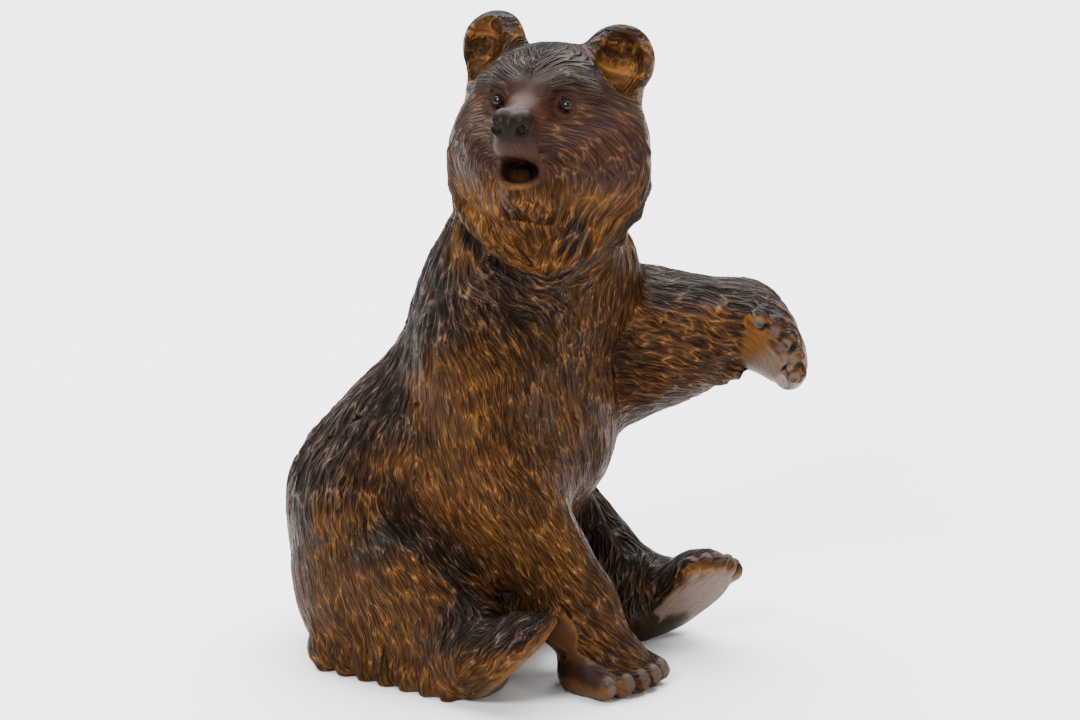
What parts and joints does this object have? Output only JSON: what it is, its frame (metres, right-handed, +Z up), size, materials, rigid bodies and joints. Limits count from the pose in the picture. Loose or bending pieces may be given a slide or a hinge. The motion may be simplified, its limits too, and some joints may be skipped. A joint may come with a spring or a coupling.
{
  "type": "carved wooden bear figure",
  "caption": "Seated bear carved from a block of dark-stained wood, leaning on a forepaw with the other raised, head turned aside, mouth open, with glass eyes; stands on a shelf as an ornament.",
  "frame": {"origin": "on the flat underside of the seat, midway between the hips, at the level of the ground", "axes": "+Z up; the hips and hind feet face -Y; the bear's own left side is +X"},
  "size_m": [0.1239, 0.1476, 0.2008],
  "materials": {
    "stained_wood": "waxed dark brown stain, rubbed to golden brown on the flanks and the crests of the cuts",
    "eye_glass": "polished black glass"
  },
  "bodies": {
    "root": {"bear": "stained_wood", "right_eye": "eye_glass", "left_eye": "eye_glass"}
  },
  "joints": []
}
